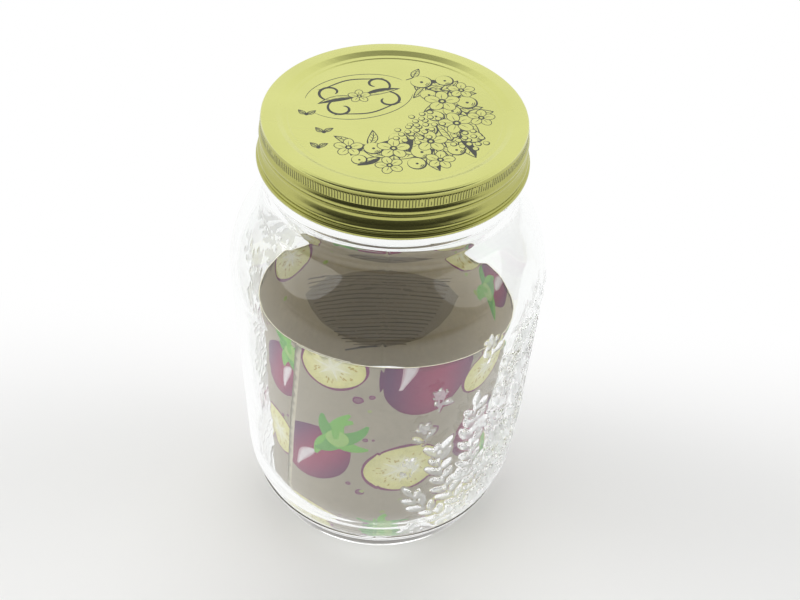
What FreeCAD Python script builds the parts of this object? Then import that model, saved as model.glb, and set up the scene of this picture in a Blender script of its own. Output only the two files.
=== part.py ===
"""A one-litre preserving jar: blown glass body, pressed screw lid, and the printed sheet rolled up inside.

Every profile is given as radius and height in millimetres. The jar stands on z = 0, its axis is Z, and the
front is -Y. The glass and the lid are turned about the axis, and the sheet is one strip of paper rolled
into a slightly flared tube whose ends overlap.
"""
import FreeCAD, Part
import math
import os

# ---------------------------------------------------------------- whole jar
total_height = 168.0        # floor to the top of the lid
shoulder_radius = 53.7      # widest part of the body, where the shoulder starts
body_lean = 1.6             # degrees that the side leans in on its way down
foot_radius = 48.4          # at the middle of the heel bead
foot_lean = 18.0            # degrees that the foot leans in on its way down
foot_sweep = 50.0           # radius of the bend from the side into the foot
neck_radius = 40.5          # outside of the neck, below the transfer bead
wall = 3.2                  # glass of the body, the shoulder and the neck

# ---------------------------------------------------------------- glass base
heel_round = 10.0           # round between the foot and the flat ring
foot_land = 3.0             # width of the flat ring that the jar stands on
push_up = 3.6               # rise of the base's underside at the middle
push_up_edge = 0.6          # rise of the underside just inside the flat ring
push_up_lip = 1.0           # width of the slope between the two
floor_thickness = 5.4       # glass in the base
floor_round = 10.0          # round inside, between the floor and the wall
heel_bead_z = 13.2          # height of the bead's middle
heel_bead_width = 3.2
heel_bead_bulge = 0.6

# ---------------------------------------------------------------- glass shoulder and neck
shoulder_round = 38.0       # convex arc of the shoulder
cove_round = 9.0            # concave arc from the shoulder into the neck
neck_below_lid = 10.8       # from the top of the cove to the lid's lower edge
bead_gap = 1.1              # air between the transfer bead and the lid's curl
bead_height = 4.4
bead_bulge = 2.0            # how far the transfer bead stands out of the neck
finish_step = 0.7           # the threaded finish is this much slimmer than the neck
rim_round = 0.9             # rounds on the sealing rim

# ---------------------------------------------------------------- screw lid
lid_height = 15.5
tin = 0.5                   # sheet that the lid is pressed from
seat_gap = 0.2              # rim to the underside of the lid
thread_room = 1.4           # finish to the outside of the lid's knurled band
panel_clearance = 1.0       # neck bore to the edge of the recessed panel
panel_slope = 1.9           # width of the slope down to the panel
panel_depth = 1.0
ring_width = 1.4            # narrow level ring at the foot of the slope
ring_slope = 0.4
ring_depth = 0.25           # the middle of the panel lies this much lower
lid_rim_round = 1.0
lid_rim_inset = 0.2         # the top rim is slimmer than the knurled band
knurl_top = 1.8             # depths below the top of the lid
knurl_bottom = 4.8
band_bottom = 7.6
lip_depth = 8.2
hollow_depth = 10.0
swell_depth = 12.0
waist_depth = 13.4
band_bulge = 0.6            # radii beyond the knurled band
lip_bulge = 0.35
hollow_bulge = 0.2
swell_bulge = 1.2
waist_bulge = 0.9
curl_bulge = 1.8
curl_round = 0.9            # outside radius of the rolled lower edge
curl_join = 40.0            # degrees above level where the skirt runs into the roll

# ---------------------------------------------------------------- rolled sheet
paper = 0.3
sheet_headroom = 7.5        # top edge to the start of the shoulder
sheet_play_top = 5.2        # sheet to glass at the top edge
sheet_play_bottom = 0.2     # bottom edge beyond the crossing of the floor and the foot
rest_gap = 0.3              # bottom edge to the round that it stands on
lap_gap = 0.2               # air between the two layers at the overlap
lap_angle = 25.0            # degrees of overlap
lap_end_top = -133.0        # where the outer end lies, in degrees about Z from +X
lap_end_bottom = -143.0     # the end leans, as on any sheet rolled to a flared tube
sheet_steps = 60            # fitted points along the roll

# ---------------------------------------------------------------- worked out from the values above
lid_bottom = total_height - lid_height
neck_bottom = lid_bottom - neck_below_lid
bead_top = lid_bottom - bead_gap
bead_bottom = bead_top - bead_height
finish_radius = neck_radius - finish_step
bore_radius = neck_radius - wall
rim_top = total_height - tin - seat_gap
skirt_radius = finish_radius + thread_room
panel_edge = bore_radius - panel_clearance

# The shoulder and the cove are two arcs that touch each other.
shoulder_centre = shoulder_radius - shoulder_round
cove_centre = neck_radius + cove_round
centre_reach = shoulder_round + cove_round
centre_rise = math.sqrt(centre_reach ** 2 - (cove_centre - shoulder_centre) ** 2)
shoulder_bottom = neck_bottom - centre_rise
turn_angle = math.atan2(centre_rise, cove_centre - shoulder_centre)

# The side and the foot are two leaning lines, outside and inside alike.
side_slope = math.tan(math.radians(body_lean))
foot_slope = math.tan(math.radians(foot_lean))
side_start_r = shoulder_centre + shoulder_round * math.cos(math.radians(body_lean))
side_start_z = shoulder_bottom - shoulder_round * math.sin(math.radians(body_lean))
floor_top = push_up_edge + floor_thickness


def side_radius(z, inset=0.0):
    """Radius of the side at height z; inset is measured square to the side."""
    return side_start_r - (side_start_z - z) * side_slope - inset / math.cos(math.radians(body_lean))


def foot_line(z, inset=0.0):
    """Radius of the foot at height z; inset is measured square to the foot."""
    return foot_radius + (z - heel_bead_z) * foot_slope - inset / math.cos(math.radians(foot_lean))


def bend_height(inset=0.0):
    """Height at which the lines of the side and the foot cross."""
    return (side_radius(0, inset) - foot_line(0, inset)) / (foot_slope - side_slope)


# The floor's round touches the floor and the inside of the foot.
floor_turn = math.radians(90 - foot_lean)
floor_centre = foot_line(floor_top, wall) - floor_round * math.tan(0.5 * floor_turn)
floor_corner = floor_top + floor_round * (1 - math.sin(math.radians(foot_lean)))


class Outline:
    """An open chain of lines and arcs in the plane of radius and height."""

    def __init__(self, r, z):
        self.here = FreeCAD.Vector(r, 0, z)
        self.edges = []

    def line(self, r, z):
        end = FreeCAD.Vector(r, 0, z)
        self.edges.append(Part.LineSegment(self.here, end).toShape())
        self.here = end

    def arc(self, centre_r, centre_z, radius, start, stop):
        """An arc about a centre, from one angle to another, in radians."""
        middle = 0.5 * (start + stop)
        points = [FreeCAD.Vector(centre_r + radius * math.cos(a), 0, centre_z + radius * math.sin(a))
                  for a in (start, middle, stop)]
        if (points[0] - self.here).Length > 1e-6:
            self.line(points[0].x, points[0].z)
        if abs(points[2].x) < 1e-6:
            points[2].x = 0
        self.edges.append(Part.Arc(self.here, points[1], points[2]).toShape())
        self.here = points[2]

    def corner(self, r, z, next_r, next_z, radius):
        """A line towards a corner, rounded off on the way to the next point."""
        tip = FreeCAD.Vector(r, 0, z)
        back = (self.here - tip).normalize()
        ahead = (FreeCAD.Vector(next_r, 0, next_z) - tip).normalize()
        half = 0.5 * back.getAngle(ahead)
        reach = radius / math.tan(half)
        first = tip + back * reach
        last = tip + ahead * reach
        towards = (back + ahead).normalize()
        middle = tip + towards * (radius / math.sin(half) - radius)
        self.line(first.x, first.z)
        self.bulge(middle.x, middle.z, last.x, last.z)

    def bulge(self, mid_r, mid_z, r, z):
        """An arc through a middle point to an end point."""
        end = FreeCAD.Vector(r, 0, z)
        self.edges.append(Part.Arc(self.here, FreeCAD.Vector(mid_r, 0, mid_z), end).toShape())
        self.here = end


def turned(edges):
    """The solid that a closed outline sweeps in one turn about the jar's axis."""
    face = Part.Face(Part.Wire(Part.__sortEdges__(edges)))
    return face.revolve(FreeCAD.Vector(0, 0, 0), FreeCAD.Vector(0, 0, 1), 360)


def cap_arc(outline, edge_r, edge_z, middle_z, inwards):
    """A shallow dome, from the axis out to its edge or from the edge in to the axis."""
    rise = middle_z - edge_z
    radius = (edge_r ** 2 + rise ** 2) / (2 * rise)
    half = math.asin(edge_r / radius)
    upright = math.pi / 2
    if inwards:
        outline.arc(0, middle_z - radius, radius, upright - half, upright)
    else:
        outline.arc(0, middle_z - radius, radius, upright, upright - half)


def jar_solid():
    """The glass: outside from the axis up to the rim, then inside back down to the axis."""
    quarter = math.pi / 2
    shape = Outline(0, push_up)

    # Underside: domed base, lip, and the flat ring that it stands on.
    bead_start = heel_bead_z - 0.5 * heel_bead_width
    bead_stop = heel_bead_z + 0.5 * heel_bead_width
    land_outer = foot_line(0) - heel_round * math.tan(0.5 * floor_turn)
    land_inner = land_outer - foot_land
    cap_arc(shape, land_inner - push_up_lip, push_up_edge, push_up, inwards=False)
    shape.line(land_inner, 0)

    # Heel, heel bead, foot, side, shoulder and cove.
    lean = math.radians(body_lean)
    bend = bend_height()
    shape.corner(foot_line(0), 0, foot_line(bead_start), bead_start, heel_round)
    shape.line(foot_line(bead_start), bead_start)
    shape.bulge(foot_radius + heel_bead_bulge, heel_bead_z, foot_line(bead_stop), bead_stop)
    shape.corner(side_radius(bend), bend, side_start_r, side_start_z, foot_sweep)
    shape.arc(shoulder_centre, shoulder_bottom, shoulder_round, -lean, turn_angle)
    shape.arc(cove_centre, neck_bottom, cove_round, math.pi + turn_angle, math.pi)

    # Neck, transfer bead, finish and the outer half of the rim.
    shape.line(neck_radius, bead_bottom)
    shape.bulge(neck_radius + bead_bulge, bead_bottom + bead_height / 2, finish_radius, bead_top)
    shape.line(finish_radius, rim_top - rim_round)
    shape.arc(finish_radius - rim_round, rim_top - rim_round, rim_round, 0, quarter)

    # Inside, from the rim down to the middle of the floor.
    shape.line(bore_radius + rim_round, rim_top)
    shape.arc(bore_radius + rim_round, rim_top - rim_round, rim_round, quarter, math.pi)
    shape.line(bore_radius, neck_bottom)
    shape.arc(cove_centre, neck_bottom, cove_round + wall, math.pi, math.pi + turn_angle)
    shape.arc(shoulder_centre, shoulder_bottom, shoulder_round - wall, turn_angle, -lean)
    bend = bend_height(wall)
    shape.corner(side_radius(bend, wall), bend, foot_line(floor_corner, wall), floor_corner, foot_sweep - wall)
    shape.corner(foot_line(floor_top, wall), floor_top, 0, floor_top, floor_round)
    cap_arc(shape, floor_centre, floor_top, push_up + floor_thickness, inwards=True)
    shape.line(0, push_up)
    return turned(shape.edges)


def pressed_skin(inset):
    """One face of the lid's sheet, from the axis to the end of the roll; inset is 0 outside, tin inside."""
    top = total_height - inset
    slope_shift = inset * math.tan(0.5 * math.atan2(panel_depth, panel_slope))
    ring_shift = inset * math.tan(0.5 * math.atan2(ring_depth, ring_slope))
    slope_foot = panel_edge - panel_slope
    ring_inner = slope_foot - ring_width
    ring_top = top - panel_depth
    skirt = skirt_radius - inset

    skin = Outline(0, ring_top - ring_depth)

    # Panel, narrow ring, slope and the level annulus that seats on the rim.
    skin.line(ring_inner - ring_slope + ring_shift, ring_top - ring_depth)
    skin.line(ring_inner + ring_shift, ring_top)
    skin.line(slope_foot + slope_shift, ring_top)
    skin.line(panel_edge + slope_shift, top)
    rim_centre = skirt_radius - lid_rim_inset - lid_rim_round
    skin.line(rim_centre, top)
    skin.arc(rim_centre, total_height - lid_rim_round, lid_rim_round - inset, math.pi / 2, 0)

    # Skirt: knurled band, plain band, lip, hollow, swell and waist.
    skin.line(skirt - lid_rim_inset, total_height - knurl_top)
    skin.line(skirt, total_height - knurl_top - lid_rim_inset)
    skin.line(skirt, total_height - knurl_bottom)
    band_middle = total_height - 0.5 * (knurl_bottom + band_bottom)
    skin.bulge(skirt + band_bulge, band_middle, skirt, total_height - band_bottom)
    skin.line(skirt + lip_bulge, total_height - lip_depth)
    skin.line(skirt + hollow_bulge, total_height - hollow_depth)
    skin.bulge(skirt + swell_bulge, total_height - swell_depth, skirt + waist_bulge, total_height - waist_depth)

    # Rolled lower edge.
    roll_r = skirt_radius + curl_bulge - curl_round
    roll_z = lid_bottom + curl_round
    skin.arc(roll_r, roll_z, curl_round - inset, math.radians(curl_join), -math.pi / 2)
    skin.arc(roll_r, roll_z, curl_round - inset, -math.pi / 2, -math.pi)
    return skin


def lid_solid():
    """The lid: both faces of the sheet, closed at the axis and at the end of the roll."""
    outside = pressed_skin(0)
    inside = pressed_skin(tin)
    roll_end = Part.LineSegment(outside.here, inside.here).toShape()
    middle_z = total_height - panel_depth - ring_depth
    axis_edge = Part.LineSegment(FreeCAD.Vector(0, 0, middle_z), FreeCAD.Vector(0, 0, middle_z - tin)).toShape()
    return turned(outside.edges + inside.edges + [roll_end, axis_edge])


def roll_wire(outer_radius, end_angle, z):
    """The rolled sheet's section at one height: a closed loop round both faces of the paper."""
    lap = math.radians(lap_angle)
    length = 2 * math.pi + lap
    step = (paper + lap_gap) / (2 * math.pi)
    start = math.radians(end_angle)

    def face(offset):
        points = []
        for i in range(sheet_steps + 1):
            turn = length * i / sheet_steps
            radius = outer_radius - offset - step * turn
            angle = start + turn
            points.append(FreeCAD.Vector(radius * math.cos(angle), radius * math.sin(angle), z))
        return points

    outer = face(0)
    inner = face(paper)
    curves = []
    for points in (outer, inner):
        curve = Part.BSplineCurve()
        curve.interpolate(points)
        curves.append(curve.toShape())
    start_edge = Part.LineSegment(inner[0], outer[0]).toShape()
    end_edge = Part.LineSegment(outer[-1], inner[-1]).toShape()
    return Part.Wire([curves[0], end_edge, curves[1], start_edge])


def sleeve_solid():
    """The rolled sheet, standing on the round at the edge of the jar's floor."""
    top_z = shoulder_bottom - sheet_headroom
    bottom_radius = foot_line(floor_top, wall) + sheet_play_bottom
    top_radius = side_radius(top_z, wall) - sheet_play_top
    reach = bottom_radius - floor_centre
    seat_z = floor_top + floor_round - math.sqrt(floor_round ** 2 - reach ** 2)
    bottom_z = seat_z + rest_gap * floor_round / math.sqrt(floor_round ** 2 - reach ** 2)
    lower = roll_wire(bottom_radius, lap_end_bottom, bottom_z)
    upper = roll_wire(top_radius, lap_end_top, top_z)
    return Part.makeLoft([lower, upper], True, True)


def main():
    os.makedirs("parts", exist_ok=True)
    pieces = {"jar": jar_solid(), "lid": lid_solid(), "sleeve": sleeve_solid()}
    for name, shape in pieces.items():
        solid = shape.Solids[0]
        solid.exportStep("parts/" + name + ".step")
        box = solid.BoundBox
        print(name, len(shape.Solids), solid.isValid(), round(solid.Volume / 1000, 2), "cm3",
              "radius", round(box.XMax, 2), "z", round(box.ZMin, 2), round(box.ZMax, 2))


main()
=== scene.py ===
"""Looks of the preserving jar: clear glass with leafy relief, a gold pressed lid, a printed sheet rolled inside.

Lengths are in millimetres until a mesh is made. Azimuths are in degrees about Z from +X, so the front is -90.
"""

import math
import random

import bpy
import numpy as np
from mathutils import Matrix, Vector
from mathutils.geometry import delaunay_2d_cdt


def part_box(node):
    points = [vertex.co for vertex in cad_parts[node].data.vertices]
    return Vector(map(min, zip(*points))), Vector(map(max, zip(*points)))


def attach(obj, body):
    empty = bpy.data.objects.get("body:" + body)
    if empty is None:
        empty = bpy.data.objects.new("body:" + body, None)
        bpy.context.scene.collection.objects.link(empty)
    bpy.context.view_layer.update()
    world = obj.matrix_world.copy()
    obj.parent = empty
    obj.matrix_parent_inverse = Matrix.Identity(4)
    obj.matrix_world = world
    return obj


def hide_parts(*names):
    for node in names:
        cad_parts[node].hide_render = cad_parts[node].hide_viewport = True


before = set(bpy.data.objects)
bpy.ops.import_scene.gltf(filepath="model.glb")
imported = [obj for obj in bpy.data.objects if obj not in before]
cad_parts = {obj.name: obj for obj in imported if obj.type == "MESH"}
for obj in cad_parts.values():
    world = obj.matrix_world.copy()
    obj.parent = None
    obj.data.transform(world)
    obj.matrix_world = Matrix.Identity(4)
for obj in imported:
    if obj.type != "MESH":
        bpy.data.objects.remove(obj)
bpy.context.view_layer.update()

MM = 0.001


# ------------------------------------------------------------------ sizes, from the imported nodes
def heights_mm(node):
    low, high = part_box(node)
    return low[2] / MM, high[2] / MM


RIM_TOP = heights_mm("jar")[1]
LID_BOTTOM, TOP = heights_mm("lid")
SHEET_BOTTOM, SLEEVE_TOP = heights_mm("sleeve")
SHOULDER_R = 53.7
WALL = 3.2
NECK_R = 40.5
SKIRT_R = 41.2
TIN = 0.5


# ------------------------------------------------------------------ small helpers
def srgb(r, g, b):
    """A colour as seen on a screen, 0 to 255, as linear values."""
    out = []
    for c in (r, g, b):
        c = c / 255
        out.append(c / 12.92 if c <= 0.04045 else ((c + 0.055) / 1.055) ** 2.4)
    return (out[0], out[1], out[2], 1.0)


def arc(cr, cz, radius, start, stop, steps):
    """Points on an arc, angles in degrees."""
    angles = np.radians(np.linspace(start, stop, steps + 1))
    return [(cr + radius * math.cos(a), cz + radius * math.sin(a)) for a in angles]


def turned(x, y, turn):
    """A function that sets a point of a small drawing down at (x, y), turned."""
    c, s = math.cos(turn), math.sin(turn)
    return lambda px, py: (x + px * c - py * s, y + px * s + py * c)


def unturned(x, y, turn):
    """The reverse of turned: where a point, or an array of them, lies in the small drawing's own frame."""
    c, s = math.cos(turn), math.sin(turn)
    return lambda px, py: ((px - x) * c + (py - y) * s, -(px - x) * s + (py - y) * c)


def around(x, y, radius, angle):
    return x + radius * math.cos(angle), y + radius * math.sin(angle)


def bunch(x, y, spacing, count):
    """The middles of a round bunch of berries, laid in a spiral."""
    return [around(x, y, spacing * math.sqrt(k), 2.4 * k) for k in range(count)]


def ribbon(points, half):
    """The outline of a line along the points; half(t) is half its width at the share t of its length."""
    last = len(points) - 1
    left, right = [], []
    for k, (x, y) in enumerate(points):
        (ax, ay), (bx, by) = points[max(0, k - 1)], points[min(last, k + 1)]
        length = math.hypot(bx - ax, by - ay) or 1.0
        w = half(k / last)
        nx, ny = -(by - ay) / length * w, (bx - ax) / length * w
        left.append((x + nx, y + ny))
        right.append((x - nx, y - ny))
    return left + right[::-1]


def rounded(points):
    """A profile through (r, z, round) corners, each round given its own short arc."""
    out = []
    for i, (r, z, radius) in enumerate(points):
        if radius <= 0 or i in (0, len(points) - 1):
            out.append((r, z))
            continue
        tip = Vector((r, z))
        back = (Vector(points[i - 1][:2]) - tip)
        ahead = (Vector(points[i + 1][:2]) - tip)
        limit = 0.48 * min(back.length, ahead.length)
        back.normalize()
        ahead.normalize()
        half = 0.5 * back.angle(ahead)
        reach = min(radius / math.tan(half), limit)
        real = reach * math.tan(half)
        centre = tip + (back + ahead).normalized() * (real / math.sin(half))
        first = tip + back * reach - centre
        last = tip + ahead * reach - centre
        turn = first.angle_signed(last)
        steps = max(2, int(abs(math.degrees(turn)) / 14) + 1)
        start = math.atan2(first.y, first.x)
        for k in range(steps + 1):
            a = start - turn * k / steps
            out.append((centre.x + real * math.cos(a), centre.y + real * math.sin(a)))
    return out


def placed(name, data):
    obj = bpy.data.objects.new(name, data)
    bpy.context.scene.collection.objects.link(obj)
    return obj


def new_object(name, verts_mm, faces, smooth=True, mats=(), mat_index=None):
    mesh = bpy.data.meshes.new(name)
    mesh.from_pydata([tuple(float(c) * MM for c in v) for v in verts_mm], [], faces)
    mesh.validate()
    for mat in mats:
        mesh.materials.append(mat)
    if mat_index is not None:
        mesh.polygons.foreach_set("material_index", mat_index)
    if smooth:
        mesh.polygons.foreach_set("use_smooth", [True] * len(mesh.polygons))
    mesh.update()
    return placed(name, mesh)


def even_ring(angles, radius, height):
    """A ring (angles, radii, heights) at one height; the radius may be one number or one for each angle."""
    return angles, radius + np.zeros(len(angles)), np.full(len(angles), height)


def stitched(rings, close_start=None, close_end=None):
    """Vertices and faces of a surface of revolution given as rings, its ends closed at the heights given.

    A ring may have fewer columns than its neighbour if its angles are among the neighbour's, and the wider
    faces then take in the extra points.
    """
    verts, starts, faces = [], [], []
    for angles, radii, heights in rings:
        starts.append(len(verts))
        verts.extend(zip(radii * np.cos(np.radians(angles)), radii * np.sin(np.radians(angles)), heights))
    for (first, second, a0, b0) in zip(rings[:-1], rings[1:], starts[:-1], starts[1:]):
        na, nb = len(first[0]), len(second[0])
        few = min(na, nb)
        wide, narrow, w0 = (first[0], second[0], a0) if na > nb else (second[0], first[0], b0)
        places = np.searchsorted(wide, narrow - 1e-6)
        for k in range(few):
            n = (k + 1) % few
            if na == nb:
                faces.append((a0 + k, a0 + n, b0 + n, b0 + k))
                continue
            edge = [w0 + (i % len(wide)) for i in range(places[k], (places[n] if n else len(wide)) + 1)]
            faces.append(tuple(edge + [b0 + n, b0 + k] if na > nb else [a0 + k, a0 + n] + edge[::-1]))
    ends = ((close_start, starts[0], rings[0], -1), (close_end, starts[-1], rings[-1], 1))
    for height, start, ring, turn in ends:
        if height is not None:
            verts.append((0.0, 0.0, height))
            centre, n = len(verts) - 1, len(ring[0])
            faces += [(centre,) + (start + k, start + (k + 1) % n)[::turn] for k in range(n)]
    return verts, faces


# ------------------------------------------------------------------ node materials
class Tree:
    """The shading nodes of a material or world. A value is a constant, or a node or socket to link from."""

    def __init__(self, owner):
        owner.use_nodes = True
        self.nodes, self.links = owner.node_tree.nodes, owner.node_tree.links

    def put(self, made, *sockets, **named):
        """Set a node's properties, its sockets in order, and its sockets by name."""
        places = list(enumerate(sockets))
        for key, value in named.items():
            if hasattr(made, key):
                setattr(made, key, value)
            else:
                places.append((key.replace("_", " "), value))
        for key, value in places:
            value = value.outputs[0] if isinstance(value, bpy.types.Node) else value
            if isinstance(value, bpy.types.NodeSocket):
                self.links.new(value, made.inputs[key])
            else:
                made.inputs[key].default_value = value
        return made

    def add(self, kind, *sockets, **named):
        return self.put(self.nodes.new("ShaderNode" + kind), *sockets, **named)

    def noise(self, place, scale, detail, roughness):
        return self.add("TexNoise", Vector=place, Scale=scale, Detail=detail, Roughness=roughness)

    def ramp(self, factor, deep, pale, start=0.0, stop=1.0):
        made = self.add("ValToRGB", factor)
        for element, position, colour in zip(made.color_ramp.elements, (start, stop), (deep, pale)):
            element.position, element.color = position, colour
        return made

    def remap(self, value, low, high, to_low=0.0, to_high=1.0, smooth=True):
        return self.add("MapRange", value, interpolation_type="SMOOTHSTEP" if smooth else "LINEAR",
                        From_Min=low, From_Max=high, To_Min=to_low, To_Max=to_high)

    def maths(self, operation, *values):
        return self.add("Math", *values, operation=operation)

    def finish(self, surface, output="Material Output"):
        self.put(self.nodes[output], Surface=surface)


def material(name):
    """A new material, its tree, its Principled shader, and object coordinates."""
    mat = bpy.data.materials.new(name)
    tree = Tree(mat)
    return mat, tree, tree.nodes["Principled BSDF"], tree.add("TexCoord").outputs["Object"]


TRAPPED_AFTER = 2.5     # reflections after which light caught between the faces of the wall gets out


def glass_material(name, frost):
    """Clear glass that lets the lamps' light through; frost is the share of light that it scatters."""
    mat, tree, shader, place = material(name)
    bump = tree.add("Bump", Strength=0.12, Distance=0.0006, Height=tree.noise(place, 55.0, 2.0, 0.5))
    tree.put(shader, Base_Color=(0.985, 0.995, 0.99, 1), Roughness=0.09 if frost else 0.0, IOR=1.5,
             Transmission_Weight=1.0, Normal=bump)
    surface = shader
    if frost:
        surface = tree.add("MixShader", frost, shader, tree.add("BsdfDiffuse", Color=(0.93, 0.95, 0.95, 1)))
    path = tree.add("LightPath").outputs
    lighting = tree.maths("MAXIMUM", path["Is Shadow Ray"], path["Is Diffuse Ray"])
    trapped = tree.maths("GREATER_THAN", path["Glossy Depth"], TRAPPED_AFTER)
    through = tree.add("BsdfTransparent", Color=(0.975, 0.98, 0.975, 1))
    tree.finish(tree.add("MixShader", tree.maths("MAXIMUM", lighting, trapped), surface, through))
    return mat


def lacquer_material(name, pale, deep):
    """Gold lacquer over rolled tinplate: faint rolling grain and slow changes of tone."""
    mat, tree, shader, place = material(name)
    tone = tree.ramp(tree.noise(place, 28.0, 3.0, 0.55), deep, pale, 0.3, 0.7)
    grain = tree.noise(tree.add("Mapping", Vector=place, Scale=(9.0, 900.0, 400.0)), 1.0, 2.0, 0.6)
    tree.put(shader, Metallic=1.0, Coat_Weight=0.25, Coat_Roughness=0.12, Base_Color=tone,
             Roughness=tree.remap(grain, 0.0, 1.0, 0.19, 0.31, smooth=False),
             Normal=tree.add("Bump", Strength=0.05, Distance=0.0003, Height=grain))
    return mat


def plain_material(name, scale, detail_roughness, deep, pale, roughness):
    """A smooth coat whose colour wanders a little between deep and pale."""
    mat, tree, shader, place = material(name)
    tree.put(shader, Roughness=roughness,
             Base_Color=tree.ramp(tree.noise(place, scale, 2.0, detail_roughness), deep, pale))
    return mat


def paper_material(name):
    """Uncoated printed paper: the ink is stored on the mesh, the fibres come from noise."""
    mat, tree, shader, place = material(name)
    fibre = tree.noise(place, 420.0, 4.0, 0.65)
    cloud = tree.noise(place, 45.0, 3.0, 0.5)
    light = tree.remap(tree.maths("MULTIPLY_ADD", cloud, 0.5, fibre), 0.35, 1.15, 0.86, 1.10, smooth=False)
    tint = tree.add("Mix", data_type="RGBA", blend_type="MULTIPLY", Factor=1.0,
                    A=tree.add("VertexColor", layer_name="ink"), B=light)
    tree.put(shader, Roughness=0.82, Specular_IOR_Level=0.25, Base_Color=tint.outputs["Result"],
             Normal=tree.add("Bump", Strength=0.18, Distance=0.0004, Height=fibre))
    return mat


# ------------------------------------------------------------------ the glass
BODY_LEAN, FOOT_LEAN = 1.6, 18.0
FOOT_R, HEEL_BEAD_Z = 48.4, 13.2
SHOULDER_ROUND, COVE_ROUND = 38.0, 9.0
NECK_BOTTOM = LID_BOTTOM - 10.8
SHOULDER_C = SHOULDER_R - SHOULDER_ROUND
COVE_C = NECK_R + COVE_ROUND
RISE = math.sqrt((SHOULDER_ROUND + COVE_ROUND) ** 2 - (COVE_C - SHOULDER_C) ** 2)
SHOULDER_Z = NECK_BOTTOM - RISE
TURN = math.degrees(math.atan2(RISE, COVE_C - SHOULDER_C))
SIDE_R = SHOULDER_C + SHOULDER_ROUND * math.cos(math.radians(BODY_LEAN))
SIDE_Z = SHOULDER_Z - SHOULDER_ROUND * math.sin(math.radians(BODY_LEAN))
PUSH_UP, FLOOR = 3.6, 6.0
BEAD_GAP, BEAD_HEIGHT = 1.1, 4.4
FINISH_STEP = 0.7            # how far the threaded finish is set in from the neck
THICK_NECK = 1.0             # more glass where the shoulder meets the neck
THREAD_START, THREAD_PITCH, THREAD_DEPTH = 3.2, 4.2, 0.68
THREAD_TURN = 560.0          # degrees


def side_r(z, inset=0.0):
    lean = math.radians(BODY_LEAN)
    return SIDE_R - (SIDE_Z - z) * math.tan(lean) - inset / math.cos(lean)


def foot_r(z, inset=0.0):
    lean = math.radians(FOOT_LEAN)
    return FOOT_R + (z - HEEL_BEAD_Z) * math.tan(lean) - inset / math.cos(lean)


def bend_z(inset=0.0):
    slopes = math.tan(math.radians(FOOT_LEAN)) - math.tan(math.radians(BODY_LEAN))
    return (side_r(0, inset) - foot_r(0, inset)) / slopes


RELIEF_BOTTOM, RELIEF_TOP = 15.6, 118.0
RELIEF_R = 52.5
RELIEF_ROW, RELIEF_COLUMN = 0.72, 0.5   # spacing of the relief's grid, in mm and degrees
CLUSTERS = ((-40.0, 11, 0.85), (138.0, 29, 0.35))   # azimuth of each cluster's middle, its seed and its depth
CLUSTER_HALF = 42.0                     # degrees
MOULD_SEAMS = (-90.0, 90.0)


def leaf(field, u, v, u0, v0, turn, length, width, height):
    """A pointed leaf with a sunk middle vein, raised on the field."""
    x, y = unturned(u0, v0, turn)(u, v)
    x = x / length
    near = (x > 0) & (x < 1) & (np.abs(y) < width)
    t = np.clip(x, 0.0, 1.0)
    half = 0.5 * width * np.sin(math.pi * t ** 0.85) ** 0.8 + 1e-6
    across = np.clip(1 - (y / half) ** 2, 0, 1)
    bulge = height * across ** 0.8 * (0.62 + 0.38 * np.sin(math.pi * t))
    bulge *= 1 + 0.22 * np.clip(y / half, -1, 1)
    bulge -= 0.42 * height * np.exp(-(y / (0.11 * width)) ** 2) * (across > 0)
    np.maximum(field, np.where(near, bulge, 0), out=field)


def blossom(field, u, v, u0, v0, radius, height, turn, petals=5):
    for k in range(petals):
        a = turn + 2 * math.pi * k / petals
        leaf(field, u, v, *around(u0, v0, 0.12 * radius, a), a, radius, 0.78 * radius, height)
    berry(field, u, v, u0, v0, 0.3 * radius, 1.25 * height)


def berry(field, u, v, u0, v0, radius, height):
    d2 = ((u - u0) ** 2 + (v - v0) ** 2) / radius ** 2
    np.maximum(field, height * np.sqrt(np.clip(1 - d2, 0, 1)), out=field)


def stem(field, u, v, points, width, height):
    for (ax, ay), (bx, by) in zip(points[:-1], points[1:]):
        dx, dy = bx - ax, by - ay
        t = np.clip(((u - ax) * dx + (v - ay) * dy) / (dx * dx + dy * dy), 0, 1)
        d2 = (u - ax - t * dx) ** 2 + (v - ay - t * dy) ** 2
        np.maximum(field, height * np.sqrt(np.clip(1 - d2 / width ** 2, 0, 1)), out=field)


def curve_points(a, b, c, count):
    a, b, c = np.array(a), np.array(b), np.array(c)
    return [tuple((1 - t) ** 2 * a + 2 * t * (1 - t) * b + t * t * c) for t in np.linspace(0, 1, count)]


# Each spray's stem is a curve through start, bend and end, in mm round the glass and up it.
SPRAYS = (
    ((9, 17), (2, 62), (17, 112)), ((7, 17), (-8, 56), (2, 99)), ((5, 17), (-16, 44), (-13, 84)),
    ((3, 17), (-22, 30), (-25, 66)), ((1, 17), (-20, 20), (-33, 42)), ((-1, 17), (-16, 13), (-32, 21)),
    ((12, 17), (22, 62), (29, 106)), ((13, 17), (30, 44), (35, 86)), ((15, 17), (28, 24), (36, 58)),
    ((16, 17), (27, 15), (36, 30)), ((9, 40), (8, 80), (9, 103)), ((18, 40), (24, 70), (22, 92)),
)
LONE_SPRIGS = ((-27, 92), (-31, 76), (-35, 58), (-10, 108))


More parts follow.
